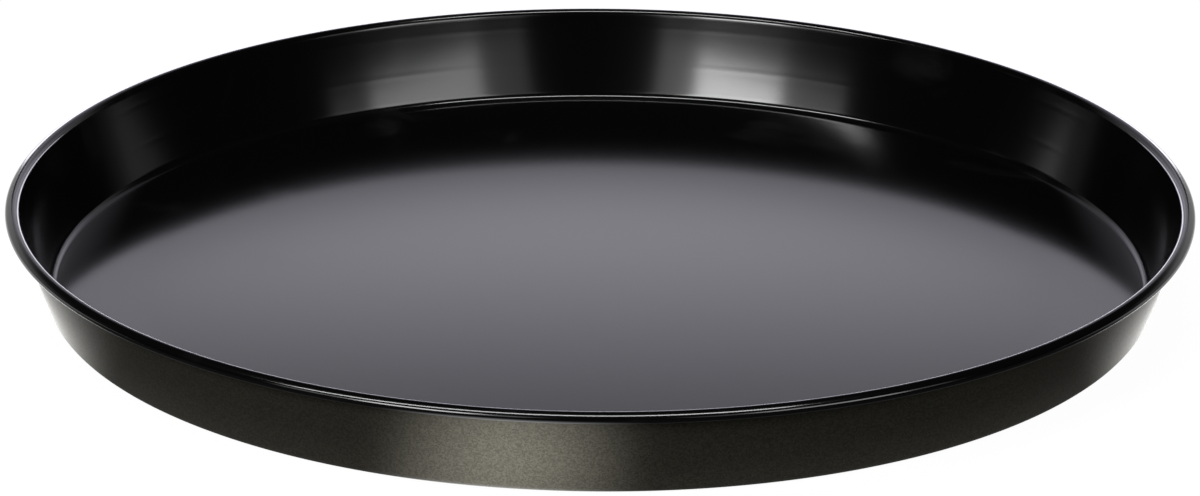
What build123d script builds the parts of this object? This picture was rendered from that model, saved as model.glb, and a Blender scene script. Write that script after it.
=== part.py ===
"""Round pizza pan: one drawn steel sheet, coated on both sides, its rim rolled outwards over a wire.

The rolled rim is broad on top and tight at its nose, and its end turns up under the rim beside the wall.

The pan stands on the XY plane and its axis is Z. The origin is the middle of the face that it stands on.
Sizes are in millimetres and angles in degrees.
"""

import os
from math import cos, degrees, radians, sin

from build123d import *

# Driving sizes of the pan
rim_opening_diameter = 320.0
pan_height = 26.1
wall_flare = 17.5
corner_radius = 2.5

# Driving sizes of the sheet and its coats
sheet_thickness = 0.6
inner_coat_thickness = 0.05
outer_coat_thickness = 0.05

# Driving sizes of the rim, whose bends are measured on the face that shows
brow_radius = 1.9
brow_end_angle = 82.0
crown_radius = 3.3
crown_end_angle = 52.0
nose_radius = 1.2
tail_sweep = 60.0
tail_gap = 0.25

# Driving sizes of the wire in the rim
wire_clearance = 0.05
wire_butt_gap = 1.0

# Depths of the layers under the face that the dough lies on
inner_face = 0.0
sheet_top = inner_coat_thickness
sheet_bottom = inner_coat_thickness + sheet_thickness
outer_face = sheet_bottom + outer_coat_thickness

# The rolled rim: a brow at the top of the wall, a broad crown and a nose that turns down and under
brow_centre_radius = rim_opening_diameter / 2 + brow_radius
brow_centre_height = pan_height - brow_radius
brow_to_crown = crown_radius - brow_radius
crown_centre_radius = brow_centre_radius - brow_to_crown * cos(radians(brow_end_angle))
crown_centre_height = brow_centre_height - brow_to_crown * sin(radians(brow_end_angle))
crown_to_nose = crown_radius - nose_radius
nose_centre_radius = crown_centre_radius + crown_to_nose * cos(radians(crown_end_angle))
nose_centre_height = crown_centre_height + crown_to_nose * sin(radians(crown_end_angle))

# The corner between the floor and the wall, which leans out and ends tangent to the brow
lean_sine = sin(radians(wall_flare))
lean_cosine = cos(radians(wall_flare))
corner_centre_height = outer_face + corner_radius
corner_to_brow_height = brow_centre_height - corner_centre_height
corner_to_brow_radius = (corner_radius + brow_radius + corner_to_brow_height * lean_sine) / lean_cosine
corner_centre_radius = brow_centre_radius - corner_to_brow_radius

# The rim's level underside and the tail that turns up from it, just short of touching the wall from outside
nose_to_brow_across = (nose_centre_radius - brow_centre_radius) * lean_cosine
nose_to_brow_down = (brow_centre_height - nose_centre_height) * lean_sine
nose_to_wall = nose_to_brow_across + nose_to_brow_down + brow_radius - outer_face
tail_reach = nose_radius * cos(radians(90 - tail_sweep + wall_flare))
tail_centre_radius = nose_centre_radius - (nose_to_wall - tail_gap - tail_reach) / lean_cosine

# The wire lies on the rim's underside, halfway across the rim, and is as thick as fits clear of the brow above it
rim_middle_radius = (rim_opening_diameter / 2 + nose_centre_radius + nose_radius) / 2
wire_seat_height = nose_centre_height - nose_radius + outer_face + wire_clearance
clear_brow_radius = brow_radius - outer_face - wire_clearance
brow_to_seat_height = wire_seat_height - brow_centre_height
brow_to_wire_radius = rim_middle_radius - brow_centre_radius
wire_room = clear_brow_radius**2 - brow_to_seat_height**2 - brow_to_wire_radius**2
wire_radius = wire_room / (clear_brow_radius + brow_to_seat_height) / 2
wire_centre_height = wire_seat_height + wire_radius
wire_gap_angle = degrees(wire_butt_gap / rim_middle_radius)


def add_face_line(depth):
    """Draws one face of the sheet from the pan's axis to the rolled rim's end, and returns its two ends."""
    corner = CenterArc(
        (corner_centre_radius, corner_centre_height),
        corner_radius + depth,
        -90,
        90 - wall_flare,
    )
    brow = CenterArc(
        (brow_centre_radius, brow_centre_height),
        brow_radius - depth,
        180 - wall_flare,
        brow_end_angle + wall_flare - 180,
    )
    crown = CenterArc(
        (crown_centre_radius, crown_centre_height),
        crown_radius - depth,
        brow_end_angle,
        crown_end_angle - brow_end_angle,
    )
    nose = CenterArc(
        (nose_centre_radius, nose_centre_height),
        nose_radius - depth,
        crown_end_angle,
        -90 - crown_end_angle,
    )
    tail = CenterArc(
        (tail_centre_radius, nose_centre_height),
        nose_radius - depth,
        -90,
        -tail_sweep,
    )
    floor = Line((0, outer_face - depth), corner @ 0)
    Line(corner @ 1, brow @ 0)
    Line(nose @ 1, tail @ 0)
    return floor @ 0, tail @ 1


def add_layer_outline(upper_depth, lower_depth):
    """Draws the closed outline of a layer that lies between two depths in the sheet."""
    upper_axis_point, upper_rim_end = add_face_line(upper_depth)
    lower_axis_point, lower_rim_end = add_face_line(lower_depth)
    Line(upper_axis_point, lower_axis_point)
    Line(upper_rim_end, lower_rim_end)


# The smooth black coat on the floor, the wall and the outside of the rolled rim
with BuildPart() as inner_coating:
    with BuildSketch(Plane.XZ):
        with BuildLine():
            add_layer_outline(inner_face, sheet_top)
        make_face()
    revolve(axis=Axis.Z)

# The steel: floor, corner, leaning wall and rolled rim in one piece, with a bare cut edge at the rim's end
with BuildPart() as steel_pan:
    with BuildSketch(Plane.XZ):
        with BuildLine():
            add_layer_outline(sheet_top, sheet_bottom)
        make_face()
    revolve(axis=Axis.Z)

# The olive-black coat under the floor, outside the wall and inside the rolled rim
with BuildPart() as outer_coating:
    with BuildSketch(Plane.XZ):
        with BuildLine():
            add_layer_outline(sheet_bottom, outer_face)
        make_face()
    revolve(axis=Axis.Z)

# The wire that stiffens the rim, bent to a ring whose two ends nearly meet at the back
with BuildPart() as rim_wire:
    with BuildSketch(Plane.YZ):
        with Locations((rim_middle_radius, wire_centre_height)):
            Circle(wire_radius)
    revolve(axis=Axis.Z, revolution_arc=360 - wire_gap_angle)

pieces = {
    "inner_coating": inner_coating,
    "steel_pan": steel_pan,
    "outer_coating": outer_coating,
    "rim_wire": rim_wire,
}

os.makedirs("parts", exist_ok=True)
for node_name, piece in pieces.items():
    piece.part.label = node_name
    export_step(piece.part, f"parts/{node_name}.step")
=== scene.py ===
"""Round pizza pan: a drawn steel sheet under two baked coats, its edge rolled outwards over a wire ring.

The pan stands on the XY plane, its axis is Z and the camera looks along +Y. Sizes are in metres and angles
in degrees unless a name says otherwise.
"""

from __future__ import annotations

import logging
import sys
from collections.abc import Sequence
from dataclasses import dataclass
from enum import Enum
from math import cos, degrees, exp, pi, radians, sin, tan
from typing import Protocol

import bmesh
import bpy
from mathutils import Matrix, Vector


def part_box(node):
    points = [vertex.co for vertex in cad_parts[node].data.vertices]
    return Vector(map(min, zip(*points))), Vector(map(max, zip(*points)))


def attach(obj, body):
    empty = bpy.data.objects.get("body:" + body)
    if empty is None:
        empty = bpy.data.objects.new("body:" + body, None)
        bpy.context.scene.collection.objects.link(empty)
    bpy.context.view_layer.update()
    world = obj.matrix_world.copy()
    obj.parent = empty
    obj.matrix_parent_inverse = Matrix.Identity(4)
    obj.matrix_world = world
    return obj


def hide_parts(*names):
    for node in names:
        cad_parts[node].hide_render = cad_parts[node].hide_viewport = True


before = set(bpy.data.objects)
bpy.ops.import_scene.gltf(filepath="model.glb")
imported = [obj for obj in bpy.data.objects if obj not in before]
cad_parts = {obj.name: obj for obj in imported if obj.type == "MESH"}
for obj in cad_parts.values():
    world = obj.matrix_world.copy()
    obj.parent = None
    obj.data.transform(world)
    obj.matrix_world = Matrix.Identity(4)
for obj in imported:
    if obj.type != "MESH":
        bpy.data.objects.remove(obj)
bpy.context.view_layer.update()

log = logging.getLogger("pizza_pan")

MM = 0.001
QUARTER_TURN, HALF_TURN, FULL_TURN = 90.0, 180.0, 360.0

# Settings that several shader nodes share
SMOOTH_FADE = {"interpolation_type": "SMOOTHSTEP"}
MULTIPLY = {"operation": "MULTIPLY"}
MULTIPLY_ADD = {"operation": "MULTIPLY_ADD"}
MIX_NUMBERS = {"data_type": "FLOAT"}
MIX_COLOURS = {"data_type": "RGBA"}

# The distance between a wave texture's lines at a scale of 1
UNSCALED_WAVE = 2 * pi / 20

# The places of a Mix node's sockets for colours
MIX_SHARE, FIRST_COLOUR, SECOND_COLOUR = 0, 6, 7
MIXED_COLOUR = 2


def linear(hex_colour: str) -> tuple[float, float, float, float]:
    """Turns a colour written as sRGB hex into the linear values that a shader takes.

    Args:
        hex_colour: Six hex digits, red first.

    Returns:
        Red, green, blue and an alpha of 1.
    """
    shares = [int(hex_colour[place : place + 2], 16) / 255 for place in (0, 2, 4)]
    red, green, blue = [s / 12.92 if s <= 0.04045 else ((s + 0.055) / 1.055) ** 2.4 for s in shares]
    return red, green, blue, 1.0


def add_node(
    tree: bpy.types.NodeTree,
    kind: str,
    inputs: dict[str | int, object] | Sequence[object] = (),
    settings: dict[str, object] | None = None,
) -> bpy.types.Node:
    """Adds a node, sets its properties and fills its sockets.

    Args:
        tree: The node tree that the node joins.
        kind: The node's type, such as ShaderNodeBump.
        inputs: What fills the sockets, by their names or places or simply in their order. Each is a
            constant, the output that feeds the socket, or a node whose first output does.
        settings: Properties of the node.

    Returns:
        The new node.
    """
    node = tree.nodes.new(kind)
    for name, value in (settings or {}).items():
        setattr(node, name, value)
    feeds = inputs if isinstance(inputs, dict) else dict(enumerate(inputs))
    for socket, feed in feeds.items():
        source = feed.outputs[0] if isinstance(feed, bpy.types.Node) else feed
        if isinstance(source, bpy.types.NodeSocket):
            tree.links.new(source, node.inputs[socket])
        else:
            node.inputs[socket].default_value = source
    return node


def new_material(name: str) -> tuple[bpy.types.Material, bpy.types.NodeTree]:
    """Makes an empty node material.

    Args:
        name: The material's name.

    Returns:
        The material and its node tree, with no nodes in it.
    """
    material = bpy.data.materials.new(name)
    material.use_nodes = True
    material.node_tree.nodes.clear()
    return material, material.node_tree


def add_object(name: str, data: bpy.types.ID) -> bpy.types.Object:
    """Makes an object and puts it in the scene.

    Args:
        name: The object's name.
        data: Its mesh, lamp or camera.

    Returns:
        The object.
    """
    thing = bpy.data.objects.new(name, data)
    bpy.context.scene.collection.objects.link(thing)
    return thing


def add_mesh_object(name: str, mesh: bmesh.types.BMesh) -> bpy.types.Object:
    """Makes an object whose place is in its mesh.

    Args:
        name: The object's name.
        mesh: Its shape, which is freed.

    Returns:
        The object.
    """
    data = bpy.data.meshes.new(name)
    mesh.to_mesh(data)
    mesh.free()
    return add_object(name, data)


def per_metre(size: float) -> float:
    """Gives the scale of a texture whose features are as large as the size given."""
    return 1 / size


def slope(angle: float) -> Vector:
    """Gives the direction in the XZ plane that rises from +X by an angle."""
    return Vector((cos(radians(angle)), 0, sin(radians(angle))))


@dataclass(frozen=True)
class PanSizes:
    """The pan's driving sizes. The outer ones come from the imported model.

    The wall bows a little: at its foot it leans wall_bow more than wall_flare, and at its top as much less.
    """

    height: float
    rim_outer_radius: float
    wall_flare: float = 17.5
    wall_bow: float = 2.0
    corner_radius: float = 2.5 * MM
    inner_coat: float = 0.05 * MM
    sheet: float = 0.6 * MM
    outer_coat: float = 0.05 * MM
    brow_radius: float = 1.9 * MM
    brow_end: float = 82.0
    crown_radius: float = 3.3 * MM
    crown_end: float = 52.0
    nose_radius: float = 1.2 * MM
    tail_sweep: float = 60.0
    tail_gap: float = 0.25 * MM
    wire_diameter: float = 1.29 * MM
    wire_clearance: float = 0.05 * MM
    wire_butt_gap: float = 1.0 * MM
    draw_ring_shares: tuple[float, ...] = (0.35, 0.84)
    draw_ring_lift: float = 0.007 * MM
    draw_ring_width: float = 0.45 * MM

    @classmethod
    def from_frame(cls) -> PanSizes:
        """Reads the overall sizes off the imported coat, which wraps the rim."""
        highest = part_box("inner_coating")[1]
        return cls(height=highest.z, rim_outer_radius=highest.x)

    @property
    def wall_depth(self) -> float:
        """The coated sheet's whole thickness."""
        return self.inner_coat + self.sheet + self.outer_coat

    @property
    def foot_lean(self) -> float:
        """How far the wall leans out at its foot."""
        return self.wall_flare + self.wall_bow

    @property
    def top_lean(self) -> float:
        """How far the wall leans out at its top."""
        return self.wall_flare - self.wall_bow

    @property
    def brow_to_crown(self) -> Vector:
        """The step from the middle of the brow's bend to that of the crown's."""
        return slope(self.brow_end) * (self.brow_radius - self.crown_radius)

    @property
    def crown_to_nose(self) -> Vector:
        """The step from the middle of the crown's bend to that of the nose's."""
        return slope(self.crown_end) * (self.crown_radius - self.nose_radius)

    @property
    def brow_centre(self) -> Vector:
        """The middle of the bend between the wall and the crown, in the XZ plane."""
        reach = (self.brow_to_crown + self.crown_to_nose).x + self.nose_radius
        return Vector((self.rim_outer_radius - reach, 0, self.height - self.brow_radius))

    @property
    def crown_centre(self) -> Vector:
        """The middle of the broad bend on top of the rim."""
        return self.brow_centre + self.brow_to_crown

    @property
    def nose_centre(self) -> Vector:
        """The middle of the bend that turns the rim down and under."""
        return self.crown_centre + self.crown_to_nose

    @property
    def tail_centre(self) -> Vector:
        """Works out how the sheet's end turns up beside the wall, just short of touching it.

        Returns:
            The middle of that last bend.
        """
        lean = self.wall_flare
        brow_to_nose = self.nose_centre - self.brow_centre
        nose_to_wall = brow_to_nose.dot(slope(-lean)) + self.brow_radius - self.wall_depth
        reach = self.nose_radius * cos(radians(QUARTER_TURN - self.tail_sweep + lean))
        run = (nose_to_wall - self.tail_gap - reach) / cos(radians(lean))
        return self.nose_centre - Vector((run, 0, 0))

    @property
    def wire_centre(self) -> Vector:
        """Places the wire halfway across the rim and just clear of its underside.

        Returns:
            The wire's middle, in the XZ plane.
        """
        across = (self.brow_centre.x - self.brow_radius + self.rim_outer_radius) / 2
        underside = self.nose_centre.z - self.nose_radius + self.wall_depth
        return Vector((across, 0, underside + self.wire_clearance + self.wire_diameter / 2))

    @property
    def wall_top(self) -> Vector:
        """Where the wall's inner face ends at the brow."""
        return self.brow_centre - slope(-self.top_lean) * self.brow_radius

    @property
    def corner_centre(self) -> Vector:
        """Places the corner so that the wall leans by wall_flare on the whole.

        Returns:
            The middle of the bend between the floor and the wall.
        """
        height = self.wall_depth + self.corner_radius
        foot_step = slope(-self.foot_lean) * self.corner_radius
        rise = self.wall_top.z - height - foot_step.z
        return Vector((self.wall_top.x - rise * tan(radians(self.wall_flare)) - foot_step.x, 0, height))


class SectionPen:
    """Draws a line in the XZ plane, one run or bend after another."""

    def __init__(self, mesh: bmesh.types.BMesh, start: Vector) -> None:
        """Starts the line.

        Args:
            mesh: The mesh that it is drawn in.
            start: Where it begins.
        """
        self.mesh = mesh
        self.tip = mesh.verts.new(start)

    def run(self, end: Vector, steps: int) -> None:
        """Draws a straight run.

        Args:
            end: Where the run ends.
            steps: How many edges it has.
        """
        start = self.tip.co.copy()
        for step in range(1, steps + 1):
            grown = bmesh.ops.extrude_vert_indiv(self.mesh, verts=[self.tip])
            self.tip = grown["verts"][0]
            self.tip.co = start.lerp(end, step / steps)

    def bend(self, centre: Vector, angle: float, steps: int) -> None:
        """Draws an arc from the tip.

        Args:
            centre: The arc's middle.
            angle: How far it turns, clockwise as seen from the front.
            steps: How many edges it has.
        """
        turned = bmesh.ops.spin(
            self.mesh, geom=[self.tip], cent=centre, axis=(0, 1, 0), angle=radians(angle), steps=steps
        )
        self.tip = turned["geom_last"][0]


@dataclass(frozen=True)
class Turning:
    """How finely the round shapes are turned."""

    turn_steps: int = 448
    floor_steps: int = 6
    corner_steps: int = 8
    wall_steps: int = 36
    brow_steps: int = 14
    crown_steps: int = 10
    nose_steps: int = 24
    tail_steps: int = 8
    wire_sides: int = 28
    sharp_angle: float = 40.0
    merge_distance: float = 0.0005 * MM

    def turn(self, mesh: bmesh.types.BMesh, angle: float = FULL_TURN) -> None:
        """Spins what the mesh holds about the pan's axis.

        A full turn is a quarter turn that is mirrored twice, so that it closes on itself exactly.

        Args:
            mesh: The section to turn, in place.
            angle: How far it is turned.
        """
        mirror_axes = ("X", "Y") if angle == FULL_TURN else ()
        parts = 2 ** len(mirror_axes)
        bmesh.ops.spin(
            mesh,
            geom=mesh.verts[:] + mesh.edges[:] + mesh.faces[:],
            cent=(0, 0, 0),
            axis=(0, 0, 1),
            angle=radians(angle / parts),
            steps=self.turn_steps // parts,
        )
        for axis in mirror_axes:
            geometry = mesh.verts[:] + mesh.edges[:] + mesh.faces[:]
            bmesh.ops.mirror(mesh, geom=geometry, axis=axis, merge_dist=self.merge_distance)

    def make_piece(self, mesh: bmesh.types.BMesh, name: str) -> bpy.types.Object:
        """Closes the poles, turns the faces outwards and makes the piece.

        Args:
            mesh: The turned mesh, which is freed.
            name: The piece's name.

        Returns:
            The piece.
        """
        bmesh.ops.remove_doubles(mesh, verts=mesh.verts[:], dist=self.merge_distance)
        bmesh.ops.recalc_face_normals(mesh, faces=mesh.faces[:])
        open_edges = sum(len(edge.link_faces) != 2 for edge in mesh.edges)
        if open_edges:
            log.warning("%s has %d open edges", name, open_edges)
        for face in mesh.faces:
            face.smooth = True
        for edge in mesh.edges:
            edge.smooth = edge.calc_face_angle(0) < radians(self.sharp_angle)
        return add_mesh_object(name, mesh)


class Finish(Protocol):
    """A finish that a piece can have."""

    def material(self) -> bpy.types.Material:
        """Builds the finish's material."""


def dress(piece: bpy.types.Object, finish: Finish, node: str) -> None:
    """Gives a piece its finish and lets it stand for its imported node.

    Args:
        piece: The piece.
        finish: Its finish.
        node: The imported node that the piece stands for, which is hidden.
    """
    piece.data.materials.append(finish.material())
    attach(piece, "root")
    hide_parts(node)


@dataclass(frozen=True)
class ReleaseCoat:
    """Black silicone-polyester release coat, sprayed and baked, as on the inside of bakeware.

    To the eye it is black with an even satin gloss: it mirrors lamps with soft edges, has the faintest
    orange peel from the spray, and is a touch duller where other pans were stacked in it.
    """

    colour: str = "040404"
    rubbed_colour: str = "121213"
    ior: float = 1.5
    roughness: float = 0.125
    rub_roughness_gain: float = 0.012
    rub_size: float = 38 * MM
    rub_levels: tuple[float, float] = (0.58, 0.74)
    rub_detail: float = 5.0
    rub_distortion: float = 0.6
    peel_size: float = 2.2 * MM
    peel_height: float = 0.0016 * MM
    peel_detail: float = 2.0
    grain_size: float = 0.35 * MM
    grain_height: float = 0.0006 * MM
    grain_detail: float = 1.0

    def material(self) -> bpy.types.Material:
        """Builds the coat's material.

        Returns:
            The material.
        """
        material, tree = new_material("satin_black_release_coat")
        place = add_node(tree, "ShaderNodeTexCoord").outputs["Object"]
        peel = add_node(
            tree,
            "ShaderNodeTexNoise",
            {"Vector": place, "Scale": per_metre(self.peel_size), "Detail": self.peel_detail},
        )
        grain = add_node(
            tree,
            "ShaderNodeTexNoise",
            {"Vector": place, "Scale": per_metre(self.grain_size), "Detail": self.grain_detail},
        )
        peel_bump = add_node(
            tree,
            "ShaderNodeBump",
            {"Height": peel.outputs["Fac"], "Distance": self.peel_height, "Strength": 1.0},
        )
        grain_bump = add_node(
            tree,
            "ShaderNodeBump",
            {
                "Height": grain.outputs["Fac"],
                "Distance": self.grain_height,
                "Strength": 1.0,
                "Normal": peel_bump,
            },
        )
        rubs = add_node(
            tree,
            "ShaderNodeTexNoise",
            {
                "Vector": place,
                "Scale": per_metre(self.rub_size),
                "Detail": self.rub_detail,
                "Distortion": self.rub_distortion,
            },
        )
        rub = add_node(
            tree, "ShaderNodeMapRange", (rubs.outputs["Fac"], *self.rub_levels, 0.0, 1.0), SMOOTH_FADE
        )
        roughness = add_node(
            tree, "ShaderNodeMath", (rub, self.rub_roughness_gain, self.roughness), MULTIPLY_ADD
        )
        tint = add_node(
            tree,
            "ShaderNodeMix",
            {MIX_SHARE: rub, FIRST_COLOUR: linear(self.colour), SECOND_COLOUR: linear(self.rubbed_colour)},
            MIX_COLOURS,
        )
        shader = add_node(
            tree,
            "ShaderNodeBsdfPrincipled",
            {
                "Base Color": tint.outputs[MIXED_COLOUR],
                "Roughness": roughness,
                "IOR": self.ior,
                "Normal": grain_bump,
            },
        )
        add_node(tree, "ShaderNodeOutputMaterial", {"Surface": shader})
        return material


@dataclass(frozen=True)
class FlakeCoat:
    """Olive-black baked enamel with fine metal flake, as on the outside of bakeware.

    To the eye it is a dull olive black that glows grey-green round a lamp's image, with a fine sparkle from
    the flakes and a paler sheen where it is seen edge on.
    """

    binder_colour: str = "141310"
    flake_colour: str = "6f6c60"
    flake_size: float = 0.42 * MM
    flake_tilt: float = 0.004 * MM
    flake_shares: tuple[float, float] = (0.34, 0.66)
    flake_metal: float = 0.8
    roughness: float = 0.42
    ior: float = 1.5

    def material(self) -> bpy.types.Material:
        """Builds the coat's material.

        Returns:
            The material.
        """
        material, tree = new_material("olive_black_flake_enamel")
        place = add_node(tree, "ShaderNodeTexCoord").outputs["Object"]
        # Real flakes are a few hundredths of a millimetre across. They are drawn coarser so that they show.
        flakes = add_node(
            tree, "ShaderNodeTexVoronoi", {"Vector": place, "Scale": per_metre(self.flake_size)}
        )
        flake_share = add_node(
            tree, "ShaderNodeMapRange", (flakes.outputs["Color"], 0.0, 1.0, *self.flake_shares), SMOOTH_FADE
        )
        tint = add_node(
            tree,
            "ShaderNodeMix",
            {
                MIX_SHARE: flake_share,
                FIRST_COLOUR: linear(self.binder_colour),
                SECOND_COLOUR: linear(self.flake_colour),
            },
            MIX_COLOURS,
        )
        tilt = add_node(
            tree,
            "ShaderNodeBump",
            {"Height": flakes.outputs["Distance"], "Distance": self.flake_tilt, "Strength": 1.0},
        )
        shader = add_node(
            tree,
            "ShaderNodeBsdfPrincipled",
            {
                "Base Color": tint.outputs[MIXED_COLOUR],
                "Metallic": self.flake_metal,
                "Roughness": self.roughness,
                "IOR": self.ior,
                "Normal": tilt,
            },
        )
        add_node(tree, "ShaderNodeOutputMaterial", {"Surface": shader})
        return material


@dataclass(frozen=True)
class ColdRolledSteel:
    """Bare cold-rolled steel, sheared or drawn, as at the sheet's cut edge and on the wire.

    To the eye it is a bright neutral grey with fine lines that run along the piece.
    """

    name: str
    colour: str = "a6a5a2"
    roughness: float = 0.34
    line_spacing: float = 0.754 * MM
    line_height: float = 0.002 * MM
    line_distortion: float = 1.5
    line_detail: float = 2.0

    def material(self) -> bpy.types.Material:
        """Builds the steel's material.

        Returns:
            The material.
        """
        material, tree = new_material(self.name)
        place = add_node(tree, "ShaderNodeTexCoord").outputs["Object"]
        # Real lines are a few hundredths of a millimetre apart. They are drawn coarser so that they show.
        lines = add_node(
            tree,
            "ShaderNodeTexWave",
            {
                "Vector": place,
                "Scale": UNSCALED_WAVE * per_metre(self.line_spacing),
                "Distortion": self.line_distortion,
                "Detail": self.line_detail,
            },
            {"wave_type": "RINGS", "rings_direction": "Z"},
        )
        bump = add_node(
            tree,
            "ShaderNodeBump",
            {"Height": lines.outputs["Fac"], "Distance": self.line_height, "Strength": 1.0},
        )
        shader = add_node(
            tree,
            "ShaderNodeBsdfPrincipled",
            {
                "Base Color": linear(self.colour),
                "Metallic": 1.0,
                "Roughness": self.roughness,
                "Normal": bump,
            },
        )
        add_node(tree, "ShaderNodeOutputMaterial", {"Surface": shader})
        return material


class Layer(Enum):
    """A layer of the coated sheet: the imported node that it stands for, from the inside outwards."""

    INNER_COAT = "inner_coating"
    SHEET = "steel_pan"
    OUTER_COAT = "outer_coating"


@dataclass(frozen=True)
class CoatedSheet:
    """The drawn sheet and its two coats, three closed shells that lie face to face."""

    sizes: PanSizes
    turning: Turning

    def depths(self, layer: Layer) -> tuple[float, float]:
        """Tells how deep a layer's two faces lie under the face that the dough lies on.

        Args:
            layer: The layer.

        Returns:
            The depth of the layer's upper face and of its lower one.
        """
        steel_top = self.sizes.inner_coat
        steel_bottom = steel_top + self.sizes.sheet
        faces = {
            Layer.INNER_COAT: (0.0, steel_top),
            Layer.SHEET: (steel_top, steel_bottom),
            Layer.OUTER_COAT: (steel_bottom, self.sizes.wall_depth),
        }
        return faces[layer]

    def ring_lift(self, share: float) -> float:
        """Tells how far the draw rings push the wall outwards.

        Args:
            share: How far up the wall, from 0 at the corner to 1 at the rim.

        Returns:
            The push, square to the wall.
        """
        sizes = self.sizes
        length = (sizes.wall_top.z - sizes.corner_centre.z) / cos(radians(sizes.wall_flare))
        offsets = [(share - ring) * length / sizes.draw_ring_width for ring in sizes.draw_ring_shares]
        return sum(sizes.draw_ring_lift * exp(-offset * offset) for offset in offsets)

    def draw_wall(self, pen: SectionPen, depth: float) -> None:
        """Draws the bowed wall from the corner to the brow, with its draw rings.

        Args:
            pen: The pen, whose tip is at the wall's foot.
            depth: How deep the face lies under the inner one.
        """
        sizes = self.sizes
        foot_normal, wall_normal, top_normal = [
            slope(-lean) for lean in (sizes.foot_lean, sizes.wall_flare, sizes.top_lean)
        ]
        foot = sizes.corner_centre + foot_normal * (sizes.corner_radius + depth)
        top = sizes.brow_centre - top_normal * (sizes.brow_radius - depth)
        length = (top - foot).length
        bow_centre = foot - foot_normal * (length / 2 / sin(radians(sizes.wall_bow)))
        known = set(pen.mesh.verts)
        pen.bend(bow_centre, sizes.top_lean - sizes.foot_lean, self.turning.wall_steps)
        for vertex in set(pen.mesh.verts) - known:
            vertex.co += wall_normal * self.ring_lift((vertex.co - foot).length / length)

    def draw_face(self, mesh: bmesh.types.BMesh, depth: float) -> bmesh.types.BMVert:
        """Draws one face of the sheet from the pan's axis to the rolled rim's end.

        Args:
            mesh: The mesh that it is drawn in.
            depth: How deep the face lies under the inner one.

        Returns:
            The vertex at the rolled rim's end.
        """
        sizes, turning = self.sizes, self.turning
        corner = sizes.corner_centre
        floor_height = corner.z - (sizes.corner_radius + depth)
        pen = SectionPen(mesh, Vector((0, 0, floor_height)))
        pen.run(Vector((corner.x, 0, floor_height)), turning.floor_steps)
        pen.bend(corner, sizes.foot_lean - QUARTER_TURN, turning.corner_steps)
        self.draw_wall(pen, depth)
        pen.bend(sizes.brow_centre, HALF_TURN - sizes.top_lean - sizes.brow_end, turning.brow_steps)
        pen.bend(sizes.crown_centre, sizes.brow_end - sizes.crown_end, turning.crown_steps)
        pen.bend(sizes.nose_centre, QUARTER_TURN + sizes.crown_end, turning.nose_steps)
        pen.run(sizes.tail_centre - Vector((0, 0, sizes.nose_radius - depth)), 1)
        pen.bend(sizes.tail_centre, sizes.tail_sweep, turning.tail_steps)
        return pen.tip

    def build(self, layer: Layer, name: str, finish: Finish) -> bpy.types.Object:
        """Builds one layer as a closed shell and dresses it.

        Args:
            layer: Which layer.
            name: The piece's name.
            finish: Its finish.

        Returns:
            The piece.
        """
        mesh = bmesh.new()
        rim_ends = [self.draw_face(mesh, depth) for depth in self.depths(layer)]
        mesh.edges.new(rim_ends)
        self.turning.turn(mesh)
        piece = self.turning.make_piece(mesh, name)
        dress(piece, finish, layer.value)
        return piece


@dataclass(frozen=True)
class RimWire:
    """The steel wire that the rim is rolled over, bent to a ring whose ends nearly meet at the back."""

    sizes: PanSizes
    turning: Turning

    def build(self, name: str, finish: Finish) -> bpy.types.Object:
        """Builds the ring and dresses it.

        Args:
            name: The piece's name.
            finish: Its finish.

        Returns:
            The piece.
        """
        sizes = self.sizes
        upright = Matrix.Rotation(radians(QUARTER_TURN), 4, "X")
        to_back = Matrix.Rotation(radians(QUARTER_TURN), 4, "Z")
        mesh = bmesh.new()
        bmesh.ops.create_circle(
            mesh,
            cap_ends=True,
            segments=self.turning.wire_sides,
            radius=sizes.wire_diameter / 2,
            matrix=to_back @ Matrix.Translation(sizes.wire_centre) @ upright,
        )
        gap = degrees(sizes.wire_butt_gap / sizes.wire_centre.x)
        self.turning.turn(mesh, FULL_TURN - gap)
        piece = self.turning.make_piece(mesh, name)
        dress(piece, finish, "rim_wire")
        return piece


@dataclass(frozen=True)
class Softbox:
    """A flat diffused lamp that faces the pan."""

    name: str
    place: tuple[float, float, float]
    width: float
    height: float
    radiance: float
    aim: tuple[float, float, float] = (0.0, 0.0, 0.0)

    def build(self) -> bpy.types.Object:
        """Builds the lamp, whose power follows from its radiance and its area.

        Returns:
            The lamp's object.
        """
        lamp = bpy.data.lights.new(self.name, "AREA")
        lamp.shape = "RECTANGLE"
        lamp.size = self.width
        lamp.size_y = self.height
        lamp.energy = self.radiance * pi * self.width * self.height
        box = add_object(self.name, lamp)
        box.location = self.place
        box.rotation_euler = (Vector(self.place) - Vector(self.aim)).to_track_quat("Z", "Y").to_euler()
        box.visible_camera = False
        return box


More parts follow.
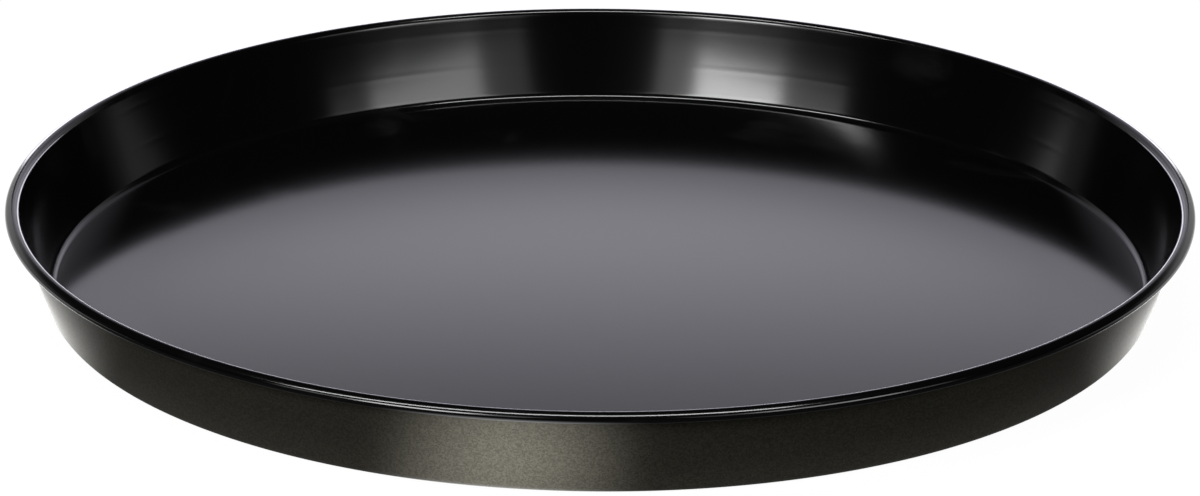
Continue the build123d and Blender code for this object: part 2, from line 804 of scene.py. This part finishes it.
@dataclass(frozen=True)
class Backdrop:
    """A low white card behind the pan. The pan's floor mirrors its glow, and mostly the rim its bright foot.

    Attributes:
        rise_heights: Where the glow that the floor mirrors sets in.
        side_lift: How much higher it sets in at a metre from the card's middle, growing with the square.
        peak_glow: Its strongest part, which fades between peak_fade_heights.
        top_glow: Its fainter part, which fades between top_fade_heights.
        foot_glow: The glow of the card's foot, which fades between foot_fade_heights.
    """

    distance: float = 0.5
    width: float = 0.6
    height: float = 0.5
    colour: str = "f3f1fe"
    rise_heights: tuple[float, float] = (0.13, 0.173)
    side_lift: float = 0.8
    peak_glow: float = 1.45
    peak_fade_heights: tuple[float, float] = (0.14, 0.27)
    top_glow: float = 0.46
    top_fade_heights: tuple[float, float] = (0.30, 0.45)
    foot_glow: float = 4.4
    foot_fade_heights: tuple[float, float] = (0.06, 0.15)

    def material(self) -> bpy.types.Material:
        """Builds the card's glow.

        Returns:
            The material.
        """
        material, tree = new_material("lit_white_card")
        place = add_node(tree, "ShaderNodeTexCoord").outputs["Object"]
        parts = add_node(tree, "ShaderNodeSeparateXYZ", (place,))
        across, height = parts.outputs["X"], parts.outputs["Z"]
        squared = add_node(tree, "ShaderNodeMath", (across, across), MULTIPLY)
        curved_height = add_node(tree, "ShaderNodeMath", (squared, -self.side_lift, height), MULTIPLY_ADD)
        rise, peak, top, foot = [
            add_node(tree, "ShaderNodeMapRange", fade, SMOOTH_FADE)
            for fade in (
                (curved_height, *self.rise_heights, 0.0, 1.0),
                (height, *self.peak_fade_heights, self.peak_glow, 0.0),
                (height, *self.top_fade_heights, self.top_glow, 0.0),
                (height, *self.foot_fade_heights, self.foot_glow, 0.0),
            )
        ]
        upper_glow = add_node(tree, "ShaderNodeMath", (peak, top))
        strength = add_node(tree, "ShaderNodeMath", (rise, upper_glow, foot), MULTIPLY_ADD)
        light = add_node(tree, "ShaderNodeEmission", {"Color": linear(self.colour), "Strength": strength})
        add_node(tree, "ShaderNodeOutputMaterial", {"Surface": light})
        return material

    def build(self) -> bpy.types.Object:
        """Builds the card.

        Returns:
            The card, which is not part of the pan.
        """
        mesh = bmesh.new()
        bmesh.ops.create_grid(mesh, x_segments=1, y_segments=1, size=1 / 2)
        upright = Matrix.Rotation(radians(QUARTER_TURN), 3, "X")
        bmesh.ops.scale(mesh, verts=mesh.verts[:], vec=(self.width, self.height, 1))
        bmesh.ops.rotate(mesh, verts=mesh.verts[:], cent=(0, 0, 0), matrix=upright)
        bmesh.ops.translate(mesh, verts=mesh.verts[:], vec=(0, self.distance, self.height / 2))
        card = add_mesh_object("backdrop_card", mesh)
        card.data.materials.append(self.material())
        card.visible_camera = False
        return card


@dataclass(frozen=True)
class Studio:
    """A pale floor in a dim room with soft lamps round the pan.

    The camera sees the floor and the room white, and the pan mirrors the rest of what is named here.

    Attributes:
        floor_glow: The floor's own light towards the camera.
        back_glow: What the pan mirrors of the floor behind it, which sets in along Y between back_edges.
        foot_glow: What it mirrors of the floor in front at its foot, which fades between foot_radii.
        back_foot_glow: What it mirrors of the floor behind it at its foot, added to back_glow.
        pool_glow: What it mirrors of the middle of a pool of light in front of it.
        room: The glow of the room.
        horizon: The glow low behind the pan, which fades upwards between the angles of horizon_top and sets
            in between horizon_sides, which are shares of +Y in the direction.
    """

    floor_size: float = 12.0
    floor_drop: float = 0.02 * MM
    floor_colour: str = "404040"
    floor_glow: float = 0.97
    back_glow: float = 0.9
    back_edges: tuple[float, float] = (-0.085, -0.005)
    foot_radii: tuple[float, float] = (0.150, 0.170)
    foot_glow: float = 0.17
    back_foot_glow: float = 5.5
    pool_place: tuple[float, float, float] = (-0.027, -0.166, 0.0)
    pool_radius: float = 0.044
    pool_glow: float = 2.7
    room: float = 0.012
    horizon: float = 0.8
    horizon_top: tuple[float, float] = (18.0, 28.0)
    horizon_sides: tuple[float, float] = (0.4, 0.85)

    def floor_material(self) -> bpy.types.Material:
        """Builds the floor's finish: matt, white for the camera, and lit in places for what mirrors it.

        Returns:
            The material.
        """
        material, tree = new_material("pale_paper_floor")
        rays = add_node(tree, "ShaderNodeLightPath")
        place = add_node(tree, "ShaderNodeTexCoord").outputs["Object"]
        parts = add_node(tree, "ShaderNodeSeparateXYZ", (place,))
        from_pan, from_pool = [
            add_node(tree, "ShaderNodeVectorMath", (place, middle), {"operation": "DISTANCE"})
            for middle in ((0.0, 0.0, 0.0), self.pool_place)
        ]
        foot, pool, back = [
            add_node(tree, "ShaderNodeMapRange", fade, SMOOTH_FADE)
            for fade in (
                (from_pan.outputs["Value"], *self.foot_radii, 1.0, 0.0),
                (from_pool.outputs["Value"], 0.0, self.pool_radius, self.pool_glow, 0.0),
                (parts.outputs["Y"], *self.back_edges, 0.0, 1.0),
            )
        ]
        back_lit = add_node(
            tree, "ShaderNodeMath", (foot, self.back_foot_glow, self.back_glow), MULTIPLY_ADD
        )
        front_lit = add_node(tree, "ShaderNodeMath", (foot, self.foot_glow, pool), MULTIPLY_ADD)
        lit = add_node(tree, "ShaderNodeMath", (back, back_lit, front_lit), MULTIPLY_ADD)
        mirrored = add_node(tree, "ShaderNodeMath", (rays.outputs["Is Glossy Ray"], lit), MULTIPLY)
        strength = add_node(
            tree, "ShaderNodeMath", (rays.outputs["Is Camera Ray"], self.floor_glow, mirrored), MULTIPLY_ADD
        )
        matt = add_node(tree, "ShaderNodeBsdfDiffuse", {"Color": linear(self.floor_colour)})
        glow = add_node(tree, "ShaderNodeEmission", {"Strength": strength})
        both = add_node(tree, "ShaderNodeAddShader", (matt, glow))
        add_node(tree, "ShaderNodeOutputMaterial", {"Surface": both})
        return material

    def floor(self) -> bpy.types.Object:
        """Builds the floor, a hair below the pan so that the two don't share a plane.

        Returns:
            The floor, which is not part of the pan.
        """
        mesh = bmesh.new()
        bmesh.ops.create_grid(mesh, x_segments=1, y_segments=1, size=self.floor_size / 2)
        bmesh.ops.translate(mesh, verts=mesh.verts[:], vec=(0, 0, -self.floor_drop))
        floor = add_mesh_object("studio_floor", mesh)
        floor.data.materials.append(self.floor_material())
        return floor

    def world(self) -> bpy.types.World:
        """Builds the surroundings: white for the camera, else a dim room with a pale horizon behind the pan.

        Returns:
            The world.
        """
        world = bpy.data.worlds.new("studio_surroundings")
        world.use_nodes = True
        tree = world.node_tree
        tree.nodes.clear()
        direction = add_node(tree, "ShaderNodeTexCoord").outputs["Generated"]
        parts = add_node(tree, "ShaderNodeSeparateXYZ", (direction,))
        low, high = [sin(radians(angle)) for angle in self.horizon_top]
        back, lit = [
            add_node(tree, "ShaderNodeMapRange", fade, SMOOTH_FADE)
            for fade in (
                (parts.outputs["Y"], *self.horizon_sides, 0.0, 1.0),
                (parts.outputs["Z"], low, high, self.horizon, self.room),
            )
        ]
        mirrored = add_node(tree, "ShaderNodeMix", {"Factor": back, "A": self.room, "B": lit}, MIX_NUMBERS)
        rays = add_node(tree, "ShaderNodeLightPath")
        strength = add_node(
            tree,
            "ShaderNodeMix",
            {"Factor": rays.outputs["Is Camera Ray"], "A": mirrored, "B": 1.0},
            MIX_NUMBERS,
        )
        light = add_node(tree, "ShaderNodeBackground", {"Strength": strength})
        add_node(tree, "ShaderNodeOutputWorld", {"Surface": light})
        bpy.context.scene.world = world
        return world

    def lamps(self) -> list[bpy.types.Object]:
        """Builds the lamps: a key and a fill, each with its spill, a faint side lamp and a strip above.

        Returns:
            The lamps' objects.
        """
        boxes = [
            Softbox("key_softbox", place=(-0.42, -0.66, 0.44), width=0.30, height=0.30, radiance=13.0),
            Softbox("key_spill", place=(-0.50, -0.70, 0.46), width=0.75, height=0.34, radiance=1.8),
            Softbox("fill_softbox", place=(0.52, -0.59, 0.42), width=0.40, height=0.30, radiance=3.8),
            Softbox("fill_spill", place=(0.56, -0.65, 0.45), width=0.80, height=0.34, radiance=0.8),
            Softbox("left_side_softbox", place=(-0.90, 0.17, 0.30), width=0.10, height=0.25, radiance=0.08),
            Softbox(
                "overhead_strip",
                place=(-0.2, -0.07, 1.2),
                width=1.24,
                height=0.12,
                radiance=20.0,
                aim=(-0.2, 0.0, 0.0),
            ),
        ]
        return [box.build() for box in boxes]


@dataclass(frozen=True)
class PictureCamera:
    """The camera, placed as in the picture that the pan is rebuilt from."""

    focal_length_mm: float = 164.84
    film_width_mm: float = 36.0
    distance: float = 1.532
    elevation: float = 20.9
    aim_down: float = 20.585
    roll: float = 0.33

    def build(self) -> bpy.types.Object:
        """Builds the camera and makes it the scene's own.

        Returns:
            The camera's object.
        """
        camera_data = bpy.data.cameras.new("picture_camera")
        camera_data.lens = self.focal_length_mm
        camera_data.sensor_width = self.film_width_mm
        camera = add_object("picture_camera", camera_data)
        lift = radians(self.elevation)
        tilt = Matrix.Rotation(radians(QUARTER_TURN - self.aim_down), 3, "X")
        camera.location = (0, -self.distance * cos(lift), self.distance * sin(lift))
        camera.rotation_euler = (tilt @ Matrix.Rotation(radians(self.roll), 3, "Z")).to_euler()
        bpy.context.scene.camera = camera
        return camera


def main() -> None:
    """Builds the pan, the studio and the camera."""
    logging.basicConfig(level=logging.INFO, format="%(message)s", stream=sys.stdout)
    bpy.context.scene.view_settings.view_transform = "Standard"
    PictureCamera().build()
    sizes, turning = PanSizes.from_frame(), Turning()
    sheet = CoatedSheet(sizes, turning)
    layers = (
        (Layer.INNER_COAT, "inner_release_coat", ReleaseCoat()),
        (Layer.SHEET, "drawn_steel_sheet", ColdRolledSteel("cold_rolled_steel")),
        (Layer.OUTER_COAT, "outer_flake_coat", FlakeCoat()),
    )
    pieces = [sheet.build(layer, name, finish) for layer, name, finish in layers]
    pieces.append(RimWire(sizes, turning).build("rim_wire_ring", ColdRolledSteel("drawn_steel_wire")))
    for piece in pieces:
        log.info("%s: %d faces of %s", piece.name, len(piece.data.polygons), piece.active_material.name)
    Backdrop().build()
    studio = Studio()
    studio.floor()
    studio.world()
    studio.lamps()


if __name__ == "__main__":
    main()
